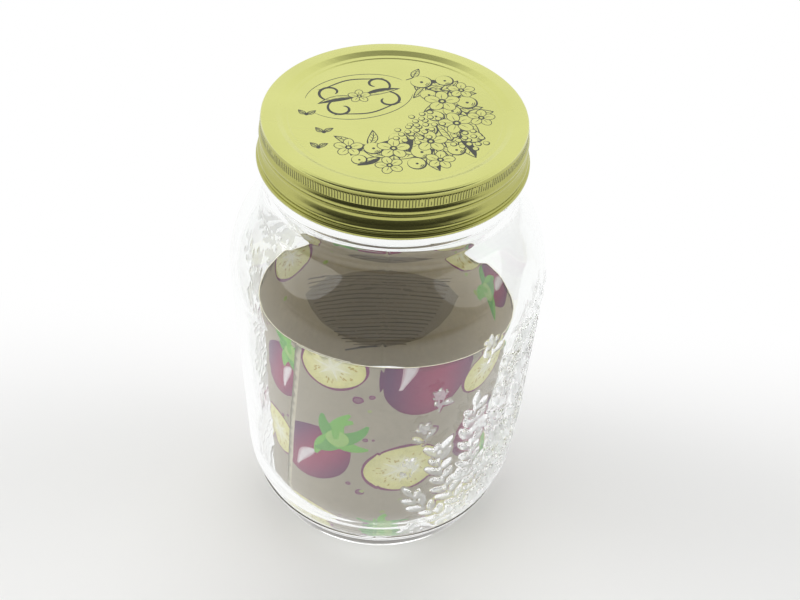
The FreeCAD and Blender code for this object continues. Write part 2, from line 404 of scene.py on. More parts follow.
def relief(columns, heights, centre, seed, strength, bare=False):
    """Height of the relief over the grid of columns (degrees) and heights."""
    rng = random.Random(seed)
    turn = (np.asarray(columns) - centre + 180) % 360 - 180
    u = (np.radians(turn) * RELIEF_R)[None, :]
    v = np.asarray(heights)[:, None]
    field = np.zeros((len(heights), len(columns)))
    cols = np.nonzero(np.abs(turn) < CLUSTER_HALF)[0]
    u = u[:, cols]
    part = np.zeros((len(heights), len(cols)))
    for a, b, c in SPRAYS:
        points = curve_points(a, b, c, 22)
        stem(part, u, v, points, 0.55, 0.5)
        run, side, along = 3.0 + 2 * rng.random(), 1, 0.0
        for (ax, ay), (bx, by) in zip(points[:-1], points[1:]):
            step = math.hypot(bx - ax, by - ay)
            while run <= along + step:
                share = (run - along) / step
                heading = math.atan2(by - ay, bx - ax)
                lean = side * math.radians(rng.uniform(28, 50))
                leaf(part, u, v, ax + share * (bx - ax), ay + share * (by - ay), heading + lean,
                     rng.uniform(6.2, 9.2), rng.uniform(2.6, 3.7), rng.uniform(0.75, 1.0))
                side = -side
                run += rng.uniform(2.4, 3.3)
            along += step
        (ax, ay), (bx, by) = points[-2:]
        if rng.random() < 0.6:
            blossom(part, u, v, bx, by, rng.uniform(3.6, 4.6), 0.95, rng.random() * 6)
        else:
            leaf(part, u, v, bx, by, math.atan2(by - ay, bx - ax), 7.5, 3.0, 0.9)
    for _ in range(9):
        blossom(part, u, v, rng.uniform(-16, 28), rng.uniform(28, 92), rng.uniform(3.4, 4.8), 1.1,
                rng.random() * 6)
    for cu, cv in ((4, 30), (20, 52), (0, 60), (26, 34)):
        for place in bunch(cu, cv, 1.55, 11):
            berry(part, u, v, *place, 1.55, 1.15)
    for cu, cv in LONE_SPRIGS:
        heading = math.radians(rng.uniform(50, 130))
        stem(part, u, v, [(cu, cv - 5), (cu + 1.2, cv), (cu, cv + 4)], 0.4, 0.4)
        leaf(part, u, v, cu, cv - 3, heading + 0.8, 5.5, 2.4, 0.7)
        leaf(part, u, v, cu + 0.6, cv - 1, heading - 0.9, 5.5, 2.4, 0.7)
        blossom(part, u, v, cu, cv + 4, 3.0, 0.7, rng.random() * 6)
    depth = np.interp(v, (15, 22, 34, 48, 62, 84, 104, 118), (0.45, 0.7, 1.0, 1.25, 1.3, 1.1, 0.8, 0.5))
    swell = 1.35 * np.exp(-((v - 62) / 24.0) ** 2) * np.exp(-(u / 21.0) ** 4)
    field[:, cols] = (part * depth * (not bare) + swell) * strength
    fade = np.clip((heights - RELIEF_BOTTOM) / 1.5, 0, 1) * np.clip((RELIEF_TOP - heights) / 3, 0, 1)
    return field * fade[:, None]


def slow_wave(angles, z, size):
    """The slight unevenness that blowing leaves on the inside of the glass."""
    a = np.radians(angles)
    return size * (np.sin(2 * a + 0.045 * z + 0.6) * 0.5 + np.sin(3 * a - 0.07 * z + 2.1) * 0.3
                   + np.sin(5 * a + 0.11 * z) * 0.15 + np.sin(8 * a - 0.16 * z + 1.0) * 0.08)


def mould_seam(angles):
    return sum(0.09 * np.exp(-((angles - at) / 0.45) ** 2) for at in MOULD_SEAMS)


def build_glass():
    steps = set(np.round(np.arange(-90, 270, 2.0), 3))
    for at in MOULD_SEAMS:
        steps |= {at - 1.0, at - 0.5, at + 0.5, at + 1.0}
    coarse = np.array(sorted(steps))
    fine_steps = set(coarse)
    for centre, *_ in CLUSTERS:
        start = centre - CLUSTER_HALF
        fine_steps |= set(np.round(np.arange(start, start + 2 * CLUSTER_HALF + 0.01, RELIEF_COLUMN), 3))
    fine = np.array(sorted(fine_steps))

    outer = rounded([(0, PUSH_UP, 0), (12, PUSH_UP - 0.35, 0), (24, PUSH_UP - 1.3, 0), (32.6, 0.75, 1.5),
                     (33.8, 0.0, 0.6), (foot_r(0) - 0.01, 0, 10.0), (foot_r(10.9), 10.9, 0)])[1:]
    outer = [(6.0, PUSH_UP - 0.1)] + [p for p in outer if p[0] > 1]
    for z, out in ((11.3, 0.0), (11.65, -0.12), (11.95, 0.1), (12.3, 0.42), (12.75, 0.62), (13.25, 0.68),
                   (13.75, 0.6), (14.2, 0.38), (14.55, 0.05), (14.85, -0.12), (15.2, 0.0)):
        outer.append((foot_r(z) + out, z))

    bend = bend_z()
    lower = rounded([(foot_r(15.25), 15.25, 0), (side_r(bend), bend, 50.0), (SIDE_R, SIDE_Z, 0)])
    zs = np.arange(RELIEF_BOTTOM, RELIEF_TOP + 0.3, RELIEF_ROW)
    body_r = np.interp(zs, [z for r, z in lower], [r for r, z in lower])
    above = zs > SHOULDER_Z
    body_r[above] = SHOULDER_C + np.sqrt(SHOULDER_ROUND ** 2 - (zs[above] - SHOULDER_Z) ** 2)
    field = sum(relief(fine, zs, *cluster) for cluster in CLUSTERS)
    swell_only = sum(relief(fine, zs, *cluster, bare=True) for cluster in CLUSTERS)

    seam = mould_seam(coarse)
    rings = [even_ring(coarse, r + (seam if z > 3 else 0), z) for r, z in outer]
    rings += [even_ring(fine, r + raised + mould_seam(fine), z) for r, raised, z in zip(body_r, field, zs)]

    start = math.degrees(math.asin((zs[-1] - SHOULDER_Z) / SHOULDER_ROUND))
    upper = arc(SHOULDER_C, SHOULDER_Z, SHOULDER_ROUND, start + 1.0, TURN, 18)
    upper += arc(COVE_C, NECK_BOTTOM, COVE_ROUND, 180 + TURN, 180, 12)[1:]
    bead_top = LID_BOTTOM - BEAD_GAP
    bead_bottom = bead_top - BEAD_HEIGHT
    upper += [(NECK_R, 0.5 * (NECK_BOTTOM + bead_bottom)), (NECK_R, bead_bottom - 0.5),
              (NECK_R + 0.12, bead_bottom)]
    for t in np.linspace(0.08, 1, 12):
        bulge = 1.8 * math.sin(math.pi * t ** 0.9)
        upper.append((NECK_R - FINISH_STEP * t + bulge, bead_bottom + BEAD_HEIGHT * t))
    rings += [even_ring(coarse, r + seam, z) for r, z in upper]

    finish_r = NECK_R - FINISH_STEP
    for z in np.arange(bead_top + 0.6, RIM_TOP - 1.2, 0.6):
        ridge = np.zeros(len(coarse))
        for lap in range(3):
            travel = (coarse + 90.0) + 360.0 * lap
            height = RIM_TOP - THREAD_START - THREAD_PITCH * travel / 360.0
            size = THREAD_DEPTH * np.clip(travel / 25.0, 0, 1) * np.clip((THREAD_TURN - travel) / 25.0, 0, 1)
            ridge = np.maximum(ridge, size * np.exp(-((z - height) / 0.85) ** 2))
        rings.append(even_ring(coarse, finish_r + ridge, z))
    rim = arc(finish_r - 0.9, RIM_TOP - 0.9, 0.9, 0, 90, 5)
    bore_r = NECK_R - WALL
    rim += arc(bore_r + 0.9, RIM_TOP - 0.9, 0.9, 90, 180, 5)
    rings += [even_ring(coarse, r, z) for r, z in rim]

    inner = [(bore_r, z) for z in np.arange(RIM_TOP - 3, NECK_BOTTOM + 4, -3.0)]
    throat = arc(COVE_C, NECK_BOTTOM, COVE_ROUND, 180, 180 + TURN, 12)
    shoulder = arc(SHOULDER_C, SHOULDER_Z, SHOULDER_ROUND, TURN, -BODY_LEAN, 16)[1:]
    centres = [(COVE_C, NECK_BOTTOM, 1)] * len(throat) + [(SHOULDER_C, SHOULDER_Z, -1)] * len(shoulder)
    for t, (r, z), (cr, cz, way) in zip(np.linspace(0, 1, len(centres)), throat + shoulder, centres):
        thick = WALL + THICK_NECK * (math.sin(math.pi * min(1.0, t / 0.46 + 0.12) * 0.5) if t < 0.46
                                     else math.cos(math.pi * 0.5 * (t - 0.46) / 0.54) ** 1.3)
        grow = way * thick / math.hypot(r - cr, z - cz)
        inner.append((r + (r - cr) * grow, z + (z - cz) * grow))
    inner_bend = bend_z(WALL)
    low = rounded([(side_r(SIDE_Z - 0.5, WALL), SIDE_Z - 0.5, 0), (side_r(inner_bend, WALL), inner_bend, 46.8),
                   (foot_r(FLOOR, WALL), FLOOR, 10.0), (0.0, FLOOR, 0)])
    inner += [(side_r(z, WALL), z) for z in np.arange(SIDE_Z - 4, low[1][1] + 2, -4.0)]
    inner += low[1:-1]
    last_r = inner[-1][0]
    rise = PUSH_UP + 5.4 - FLOOR
    inner += [(last_r * s, FLOOR + rise * (1 - s * s)) for s in (0.9, 0.75, 0.6, 0.4, 0.2)]
    for r, z in inner:
        fade = min(1.0, max(0.0, (z - 8) / 10)) * min(1.0, max(0.0, (RIM_TOP - 2 - z) / 8))
        body = np.interp(z, (20, 60, 112, 128, 142, 150), (0.10, 0.16, 0.22, 0.34, 0.22, 0.08))
        rings.append(even_ring(coarse, r + slow_wave(coarse, z, body * fade), z))
    verts, faces = stitched(rings, close_start=PUSH_UP, close_end=FLOOR + rise)
    pressed = np.zeros(len(verts), dtype=bool)
    first = len(outer) * len(coarse)
    pressed[first:first + field.size] = (field - swell_only > 0.06).ravel()
    kinds = [1 if all(pressed[i] for i in face) else 0 for face in faces]
    return new_object("glass_jar", verts, faces, mat_index=kinds,
                      mats=[glass_material("clear_glass", 0.0), glass_material("pressed_glass", 0.42)])


# ------------------------------------------------------------------ flat print, cut into a mesh
class Print:
    """Flat shapes laid over each other, the last one drawn on top.

    A shape's paint is a colour, a function that gives the colour at a point, or the name of a material.
    """

    def __init__(self):
        self.shapes = []

    def add(self, points, paint):
        points = [(float(x), float(y)) for x, y in points]
        area = sum(ax * by - bx * ay for (ax, ay), (bx, by) in zip(points, points[1:] + points[:1]))
        if abs(area) > 1e-4:
            self.shapes.append((points if area > 0 else points[::-1], paint))

    def box(self, x, y, wide, high, paint):
        self.add([(x, y), (x + wide, y), (x + wide, y + high), (x, y + high)], paint)

    def disc(self, x, y, rx, paint, ry=None, turn=0.0, count=20, wobble=0.0, phase=0.0):
        ry = rx if ry is None else ry
        put = turned(x, y, turn)
        points = []
        for k in range(count):
            a = 2 * math.pi * k / count
            grow = 1 + wobble * math.sin(3 * a + phase) + 0.6 * wobble * math.sin(5 * a + 2 * phase)
            points.append(put(rx * grow * math.cos(a), ry * grow * math.sin(a)))
        self.add(points, paint)

    def stroke(self, points, width, paint, taper=0.25):
        """A line with rounded-off thin ends."""
        def half(t):
            return 0.5 * width * (taper + (1 - taper) * math.sin(math.pi * t) ** 0.5)

        self.add(ribbon(points, half), paint)

    def cut(self, border, spacing, top=None):
        """Triangles inside the border, each with the paint of the topmost shape there.

        Extra points are spread at the spacing given; top(x) is the height of an upper edge that isn't straight.
        """
        points, faces = [], []
        for outline in [border] + [shape for shape, _ in self.shapes]:
            start = len(points)
            points.extend(Vector(p) for p in outline)
            faces.append(list(range(start, len(points))))
        xs, ys = zip(*border)
        row = 0
        y = min(ys) + 0.5 * spacing
        while y < max(ys) - 0.3 * spacing:
            x = min(xs) + (0.5 + 0.5 * (row % 2)) * spacing
            while x < max(xs) - 0.3 * spacing:
                if top is None or y < top(x) - 0.6:
                    points.append(Vector((x, y)))
                x += spacing
            y += spacing
            row += 1
        cut = delaunay_2d_cdt(points, [], faces, 0, 1e-4, True)
        verts, tris, owners = cut[0], cut[2], cut[5]
        kept, paints = [], []
        for tri, owner in zip(tris, owners):
            if 0 in owner:
                kept.append(tuple(tri))
                highest = max(owner)
                paints.append(self.shapes[highest - 1][1] if highest else None)
        return [tuple(v) for v in verts], kept, paints


# ------------------------------------------------------------------ the rolled sheet
SHEET_LENGTH, PAPER, LAP_GAP, LAP = 297.0, 0.3, 0.2, 25.0
SHEET_TOP = SLEEVE_TOP + 1.6
SHEET_HEIGHT = SHEET_TOP - SHEET_BOTTOM
BOTTOM_R = foot_r(FLOOR, WALL) + 0.2
TOP_R = side_r(SHOULDER_Z - 7.5, WALL) - 5.2
CONE = 0.022                 # how far the roll widens as it rises
SHEET_NET = 2.4              # spacing of the points that let the flat sheet bend
END_BOTTOM, END_TOP = -141.5, -128.0

GROUND = srgb(170, 161, 144)
GROUND_IN = srgb(188, 176, 150)
CREAM = srgb(246, 240, 214)
FLESH = srgb(226, 222, 160)
RIM_VIOLET = srgb(128, 62, 104)
SEED = srgb(190, 168, 84)
STAR = srgb(240, 238, 214)
CALYX = srgb(128, 190, 92)
CALYX_DARK = srgb(84, 150, 84)
SHINE = srgb(228, 218, 222)
DOT = srgb(132, 74, 112)
GREEN_DOT = srgb(166, 188, 108)
BAR = srgb(84, 72, 58)


def mix(a, b, t):
    return tuple(a[i] + (b[i] - a[i]) * t for i in range(3)) + (1.0,)


def end_angle(t):
    """Azimuth of the outer end at the share t of the sheet's height."""
    return END_BOTTOM + (END_TOP - END_BOTTOM) * t


def sheet_top(x):
    """Height of the upper edge on the flat sheet; it is cut lower on the side that ends up at the back."""
    azimuth = math.radians(END_TOP + (360.0 + LAP) * x / SHEET_LENGTH)
    return SHEET_HEIGHT - 9.0 + 9.0 * math.cos(azimuth + math.radians(97.0))


def to_sheet(azimuth, z):
    """Where a point of the outer layer lies on the flat sheet."""
    t = (z - SHEET_BOTTOM) / SHEET_HEIGHT
    return SHEET_LENGTH * ((azimuth - end_angle(t)) % 360) / (360.0 + LAP), z - SHEET_BOTTOM


def roll(x, y, offset):
    """The place in space of a point of the flat sheet, offset inwards from its outer face."""
    t = y / SHEET_HEIGHT
    turn = math.radians(360.0 + LAP) * (x / SHEET_LENGTH)
    radius = BOTTOM_R + (TOP_R - BOTTOM_R) * t - offset - (PAPER + LAP_GAP) / (2 * math.pi) * turn
    angle = math.radians(end_angle(t)) + turn
    return (*around(0, 0, radius, angle), SHEET_BOTTOM + y)


def aubergine(art, x, y, length, width, turn, seed, side=1, shine=0.0, calyx=True):
    """A plump fruit hanging from its calyx; turn is the direction of the stem, shine moves its light streak."""
    rng = random.Random(seed)
    put, own = turned(x, y, turn), unturned(x, y, turn)
    deep, rose = srgb(92, 58, 100), srgb(160, 66, 100)

    def skin(px, py):
        lx, ly = own(px, py)
        across = min(1.0, abs(ly / (0.5 * width) + 0.15))
        edge = min(1.0, ((lx / (0.5 * length)) ** 2 + (ly / (0.5 * width)) ** 2))
        return mix(mix(rose, deep, across ** 1.4), srgb(112, 48, 88), 0.6 * edge ** 3)

    outline = []
    for k in range(40):
        a = 2 * math.pi * k / 40
        pinch = 1.0 - 0.26 * max(0.0, math.cos(a)) ** 1.5
        outline.append(put(0.5 * length * math.cos(a), 0.5 * width * math.sin(a) * pinch))
    art.add(outline, skin)
    for size, paint in ((1.0, mix(SHINE, rose, 0.45)), (0.74, mix(SHINE, rose, 0.18)), (0.5, SHINE)):
        upper, lower = [], []
        for t in np.linspace(0, 1, 12):
            px = (-0.26 + 1.2 * shine + 0.44 * t) * length * (0.82 + 0.18 * size)
            py = (-0.20 - shine + 0.10 * math.sin(2.2 * t)) * width
            half = size * 0.085 * width * math.sin(math.pi * (0.06 + 0.88 * t ** 1.5)) ** 0.8
            upper.append(put(px, side * (py + half)))
            lower.append(put(px, side * (py - half)))
        art.add(upper + lower[::-1], paint)
    if not calyx:
        return
    base = 0.40 * length
    for k in range(6):
        a = math.radians(-140 + 280 * k / 5 + rng.uniform(-9, 9)) + math.pi
        reach = width * rng.uniform(0.36, 0.54)
        curl = rng.choice((-0.5, 0.5))
        arm = [put(base + reach * t * math.cos(a + curl * t), 1.1 * reach * t * math.sin(a + curl * t))
               for t in np.linspace(0, 1, 8)]
        art.add(ribbon(arm, lambda t: 0.105 * width * (1 - t ** 1.6) + 0.02 * width),
                mix(CALYX, CALYX_DARK, 0.55 * (k % 2)))
    art.disc(*put(base + 0.02 * length, 0), 0.15 * width, mix(CALYX, FLESH, 0.25), count=14)
    line = [put(base + length * t * 0.34, width * 0.16 * math.sin(2.6 * t)) for t in np.linspace(0, 1, 9)]
    art.stroke(line, 0.11 * width, CALYX, taper=0.55)


def slice_(art, x, y, rx, ry, turn, seed):
    rng = random.Random(seed)
    art.disc(x, y, rx, RIM_VIOLET, ry=ry, turn=turn, count=40, wobble=0.015, phase=seed)
    place, own = turned(x, y, turn), unturned(x, y, turn)

    def flesh(px, py):
        lx, ly = own(px, py)
        d = min(1.0, math.hypot(lx / rx, ly / ry))
        return mix(mix(STAR, FLESH, min(1.0, d * 1.6)), srgb(208, 206, 128), max(0.0, d - 0.7) * 2.2)

    art.disc(x, y, rx * 0.925, flesh, ry=ry * 0.915, turn=turn, count=40, wobble=0.02, phase=seed + 1)

    def put(a, d):
        return place(d * rx * math.cos(a), d * ry * math.sin(a))

    arms = 6
    arm = ((-1.2, 0.06), (-0.14, 0.28), (0, 0.60), (0.14, 0.28), (1.2, 0.06))
    first = rng.random() * 6
    for k in range(arms):
        a = first + 2 * math.pi * k / arms
        art.add([put(a + off, far) for off, far in arm], STAR)
        b = a + math.pi / arms
        for _ in range(7):
            d, e = rng.uniform(0.34, 0.74), b + rng.uniform(-0.30, 0.30)
            art.disc(*put(e, d), rng.uniform(0.50, 0.72), mix(SEED, FLESH, rng.uniform(0, 0.35)),
                     ry=0.28, turn=e + turn, count=7)


def lay_fruit(art, layout, seed, aubergine_size, slice_size):
    """Aubergines (a) and slices (s) at (azimuth, height, kind, turn)."""
    for k, (azimuth, z, kind, turn) in enumerate(layout):
        draw, size = (aubergine, aubergine_size) if kind == "a" else (slice_, slice_size())
        draw(art, *to_sheet(azimuth, z), *size, math.radians(turn), seed + k)


def draw_outside():
    """Fruit and small dots on the outer face; the part to the front is placed one by one."""
    art, at, rng = Print(), to_sheet, random.Random(5)
    dots = ((-99.5, 86.3, 1.9), (-93.6, 88.6, 1.1), (-103.4, 40.0, 1.0), (-98.0, 36.0, 1.7), (-96.0, 66.0, 1.0),
            (-92.5, 66.3, 0.6), (-66.0, 69.5, 1.8), (-71.0, 71.0, 0.8), (-60.0, 34.0, 1.4), (-57.0, 31.0, 0.8),
            (-108.0, 15.5, 0.8), (-105.0, 14.6, 0.5))
    for azimuth, z, size in dots:
        art.disc(*at(azimuth, z), size, DOT, count=14, wobble=0.05, phase=azimuth)
        art.disc(*at(azimuth, z), size * 0.62, mix(DOT, GROUND, 0.25), count=10)
    for k in range(26):
        azimuth, z = -20 + 245 * k / 26 + rng.uniform(-4, 4), rng.uniform(14, 96)
        art.disc(*at(azimuth, z), rng.uniform(0.7, 1.8), DOT, count=12, wobble=0.05, phase=k)
        art.disc(*at(azimuth + 4, z + 3), rng.uniform(0.5, 0.9), DOT, count=10)
    faint_green = mix(GREEN_DOT, GROUND, 0.35)
    for k in range(46):
        azimuth = -140 + 350 * k / 46 + rng.uniform(-5, 5)
        px, py = at(azimuth, rng.choice((30, 58, 84)) + rng.uniform(-7, 7))
        if 4 < px < SHEET_LENGTH - 4:
            art.disc(px, py, rng.uniform(0.6, 1.3), faint_green, count=9, wobble=0.12, phase=k)
    slice_(art, *at(-110.5, 99.5), 11.6, 11.2, 0.1, 1)
    aubergine(art, *at(-121.0, 51.5), 35, 28, math.radians(56), 2, shine=-0.12)
    aubergine(art, *at(-70.5, 99.5), 41, 31, math.radians(96), 3, -1, shine=0.09, calyx=False)
    slice_(art, *at(-79.0, 50.5), 14.2, 13.2, 0.2, 4)
    aubergine(art, *at(-90.0, 1.0), 28, 22, math.radians(80), 5)
    slice_(art, *at(-125.0, 8.5), 13.5, 9.0, -0.25, 6)
    slice_(art, *at(-40.0, 90.0), 11.5, 9.5, 0.5, 7)
    aubergine(art, *at(-38.0, 55.0), 30, 23, math.radians(-60), 8)
    slice_(art, *at(-50.0, 20.0), 12.5, 11.5, 0.3, 9)
    layout = ((0, 80, "a", 130), (-12, 36, "s", 0), (8, 14, "a", 35), (28, 60, "s", 20), (42, 90, "a", -30),
              (38, 28, "s", 0), (66, 70, "a", 60), (64, 14, "a", 150), (84, 96, "s", 30), (90, 42, "s", 10),
              (108, 74, "a", -70), (114, 18, "a", 20), (134, 50, "s", 0), (142, 88, "s", 40),
              (154, 22, "a", 100), (168, 66, "a", 40), (184, 94, "s", 0), (188, 34, "s", 15))
    lay_fruit(art, layout, 20, (30, 23), lambda: (rng.uniform(11, 13.5), rng.uniform(9.5, 12)))
    # The strip beside the outer end, under the overlap, carries the same fruit on both sides of the seam.
    slice_(art, SHEET_LENGTH * 350 / (360 + LAP), 36, 12.0, 11.0, 0.1, 60)
    aubergine(art, SHEET_LENGTH * 352 / (360 + LAP), 74, 29, 22, math.radians(70), 61)
    art.box(-1, -1, MARGIN + 1, SHEET_HEIGHT + 2, mix(GROUND, CREAM, 0.42))
    return art


MARGIN = 2.4      # unprinted, along the outer end
SAG = 0.0075      # how strongly the fine rows curve on the flat sheet, per mm
BAR_PITCH, BAR_HEIGHT, BAR_GAP = 2.0, 0.62, 0.7


def draw_inside():
    """The inner face: the same paper, fruit towards the top, and a block of plain fine bars on a darker
    bowl-shaped area that is the lid's shadow painted on.
    """
    art, at, rng = Print(), to_sheet, random.Random(8)
    layout = ((146, 86, "s", 20), (52, 87, "s", -10), (186, 68, "s", 60), (23, 88, "a", -65), (101, 84, "a", 10),
              (196, 44, "s", 0), (-14, 62, "s", 0), (-40, 84, "a", 20), (-50, 60, "s", 0), (-80, 88, "s", 20),
              (-110, 62, "a", 0), (165, 22, "a", 80), (8, 24, "s", 0), (-60, 24, "a", 30), (-100, 26, "s", 0))
    lay_fruit(art, layout, 70, (27, 20), lambda: (11.5, 9.5))
    for azimuth, z in ((124, 76), (44, 76), (152, 70), (36, 72)):
        art.disc(*at(azimuth, z), 1.1, GREEN_DOT, count=10, wobble=0.1, phase=z)
    # A darker bowl-shaped area behind the bars: the lid's shadow on the inner face, painted on.
    painted_shadow_outline = ((137, 64), (133, 55), (126, 45), (116, 35), (105, 28), (92, 24), (79, 27), (68, 33), (58, 43),
             (51, 54), (47, 64), (60, 66), (76, 66), (92, 66), (108, 66), (124, 66))
    art.add([at(*point) for point in painted_shadow_outline], mix(GROUND_IN, BAR, 0.50))
    for row in range(19):
        z = 62.0 - BAR_PITCH * row
        narrow = 0.35 * row + 0.055 * row * row
        x, stop = sorted((at(134 - narrow, z)[0], at(52 + narrow, z)[0]))
        middle = at(92, z)[0]
        while x < stop - 3:
            run = min(rng.uniform(14, 34), stop - x)
            xs = np.linspace(x, x + run, max(3, int(run / 3)))
            low = [(u, z - SHEET_BOTTOM + SAG * (u - middle) ** 2) for u in xs]
            art.add(low + [(u, y + BAR_HEIGHT) for u, y in reversed(low)],
                    mix(BAR, GROUND_IN, rng.uniform(0.1, 0.3)))
            x += run + BAR_GAP
    for azimuth, long in ((104, 7.0), (94, 9.0)):
        art.box(at(azimuth, 29)[0], 14.6, long, 15.8 - 14.6, BAR)     # two short bars below the block
    return art


def edge_points(tris):
    """The points on the border of a flat net of triangles."""
    uses = {}
    for tri in tris:
        for a, b in zip(tri, tri[1:] + tri[:1]):
            pair = (min(a, b), max(a, b))
            uses[pair] = uses.get(pair, 0) + 1
    return {i for pair, count in uses.items() if count == 1 for i in pair}


def build_sheet():
    verts, faces, colours, kinds, rims = [], [], [], [], []
    near = 1e-3
    length, steps, side_steps = SHEET_LENGTH, 100, 30
    outline = [(length * k / steps, 0) for k in range(steps)]
    outline += [(length, sheet_top(length) * k / side_steps) for k in range(side_steps)]
    back = [length * (1 - k / steps) for k in range(steps)]
    outline += [(x, sheet_top(x)) for x in back]
    outline += [(0, sheet_top(0) * (1 - k / side_steps)) for k in range(side_steps)]
    sides = ((lambda x, y: abs(y) < near, 0), (lambda x, y: abs(x - length) < near, 1),
             (lambda x, y: y > 0.5 * SHEET_HEIGHT and (near < x < length - near or y > sheet_top(x) - near), 0),
             (lambda x, y: abs(x) < near, 1))
    for art, offset, ground, inward in ((draw_outside(), 0.0, GROUND, False),
                                        (draw_inside(), PAPER, GROUND_IN, True)):
        points, tris, paints = art.cut(outline, SHEET_NET, sheet_top)
        start = len(verts)
        verts += [roll(x, y, offset) for x, y in points]
        for tri, paint in zip(tris, paints):
            order = tri[::-1] if inward else tri
            faces.append(tuple(start + i for i in order))
            kinds.append(0)
            paint = paint or ground
            colours += [paint(*points[i]) if callable(paint) else paint for i in order]
        border = edge_points(tris)
        rims.append([sorted((points[i][key], start + i) for i in border if on_side(*points[i]))
                     for on_side, key in sides])
    # Join the two faces round the edge of the paper; the sides may hold different numbers of points.
    for side in range(4):
        a, b = rims[0][side], rims[1][side]
        flip = side in (2, 3)
        i = j = 0
        while i < len(a) - 1 or j < len(b) - 1:
            if j == len(b) - 1 or (i < len(a) - 1 and a[i + 1][0] <= b[j + 1][0]):
                tri = (a[i][1], b[j][1], a[i + 1][1])
                i += 1
            else:
                tri = (a[i][1], b[j][1], b[j + 1][1])
                j += 1
            faces.append(tri if flip else tri[::-1])
            kinds.append(1)
            colours += [CREAM] * 3
    used = sorted({i for f in faces for i in f})
    renumber = {old: new for new, old in enumerate(used)}
    verts = [verts[i] for i in used]
    faces = [tuple(renumber[i] for i in f) for f in faces]
    obj = new_object("printed_sheet", verts, faces, mat_index=kinds,
                     mats=[paper_material("printed_paper"), paper_material("paper_edge")])
    mesh = obj.data
    layer = mesh.color_attributes.new("ink", "FLOAT_COLOR", "CORNER")
    layer.data.foreach_set("color", np.array(colours, dtype=float).ravel())
    normals = []
    for poly in mesh.polygons:
        for i in poly.vertices:
            normal = poly.normal
            if not kinds[poly.index]:
                x, y, _ = mesh.vertices[i].co
                sign = 1 if normal.x * x + normal.y * y > 0 else -1
                normal = Vector((x, y, -CONE * math.hypot(x, y))).normalized() * sign
            normals.append(tuple(normal))
    mesh.normals_split_custom_set(normals)
    return obj


# ------------------------------------------------------------------ the lid
PANEL_R = 32.55
PANEL_DROP, LAND_DROP = 1.25, 1.0
KNURLS = 288
KNURL_DEPTH = 0.28


def lid_outside():
    """Rings of the lid from the edge of the panel out, down, round the curl and back up inside."""
    coarse = np.arange(KNURLS) * 360.0 / KNURLS
    fine = (np.arange(KNURLS)[:, None] + np.array([0.0, 0.60, 0.70, 0.90])[None, :]).ravel() * 360.0 / KNURLS
    t, s = TOP, SKIRT_R
    panel, land, curl = t - PANEL_DROP, t - LAND_DROP, 0.9
    upper = rounded([(PANEL_R, panel, 0), (32.7, panel, 0.3), (33.05, land, 0.3), (34.4, land, 0.7),
                     (36.3, t, 0.9), (38.5, t, 0), (s - 0.2, t, 1.05), (s - 0.2, t - 1.75, 0)])
    rings = [even_ring(coarse, r, z) for r, z in upper]
    rng = random.Random(3)
    strength = np.array([rng.uniform(0.65, 1.0) for _ in range(KNURLS)])
    slow = 0.5 + 0.5 * np.sin(np.radians(coarse) * 7 + 1.3) * np.sin(np.radians(coarse) * 3)
    strength = strength * (0.75 + 0.25 * slow)
    tooth = np.zeros(len(fine))
    tooth[2::4] = tooth[3::4] = -1.0
    tooth = tooth * np.repeat(strength, 4)
    for down, out, size in ((1.9, -0.12, 0.0), (2.05, -0.02, 0.35), (2.3, 0.02, 0.9), (3.2, 0.03, 1.0),
                            (4.1, 0.02, 1.0), (4.55, 0.02, 0.85), (4.8, -0.02, 0.25)):
        rings.append(even_ring(fine, s + out + KNURL_DEPTH * size * tooth, t - down))
    def skirt(*places):
        """Points given by their distance outside the skirt's radius and below the top."""
        return [(s + out, t - down, *rest) for out, down, *rest in places]

    lower = skirt((-0.05, 4.95))
    for k in np.linspace(0.04, 0.96, 9):
        lower.append((s + 0.6 * math.sin(math.pi * k) ** 0.8, t - 5.0 - 2.5 * k))
    lower += rounded(skirt((0.02, 7.6, 0), (0, 7.75, 0.1), (0.38, 8.05, 0.12), (0.36, 8.4, 0.12),
                           (-0.24, 8.85, 0.2), (-0.22, 9.5, 0.8), (0.35, 11.0, 1.0), (1.05, 11.65, 0.5),
                           (1.2, 12.1, 0.4), (1.0, 12.75, 0.4), (0.62, 13.3, 0.4), (0.75, 13.75, 0.2),
                           (1.2, 14.05, 0)))
    rings += [even_ring(coarse, r, z) for r, z in lower]
    under = arc(s + curl, LID_BOTTOM + curl, curl, 48, -180, 18)
    lining = len(rings) + len(under)
    under += skirt((-0.02, 13.6), (0.35, 13.0), (0.62, 12.2), (0.35, 11.5), (-0.5, 10.5), (-0.55, 8.6),
                   (-0.5, 7.5), (-0.1, 6.3), (-0.5, 5.0), (-0.6, 4.6), (-0.7, 2.0))
    under += arc(s - 1.2, t - 1.05, 0.55, 0, 90, 5)
    under += [(36.5, t - TIN), (36.1, t - TIN - 0.1), (34.3, land - TIN), (33.1, land - TIN),
              (32.7, panel - TIN), (20.0, panel - TIN), (8.0, panel - TIN)]
    rings += [even_ring(coarse, r, z) for r, z in under]
    return rings, coarse, lining


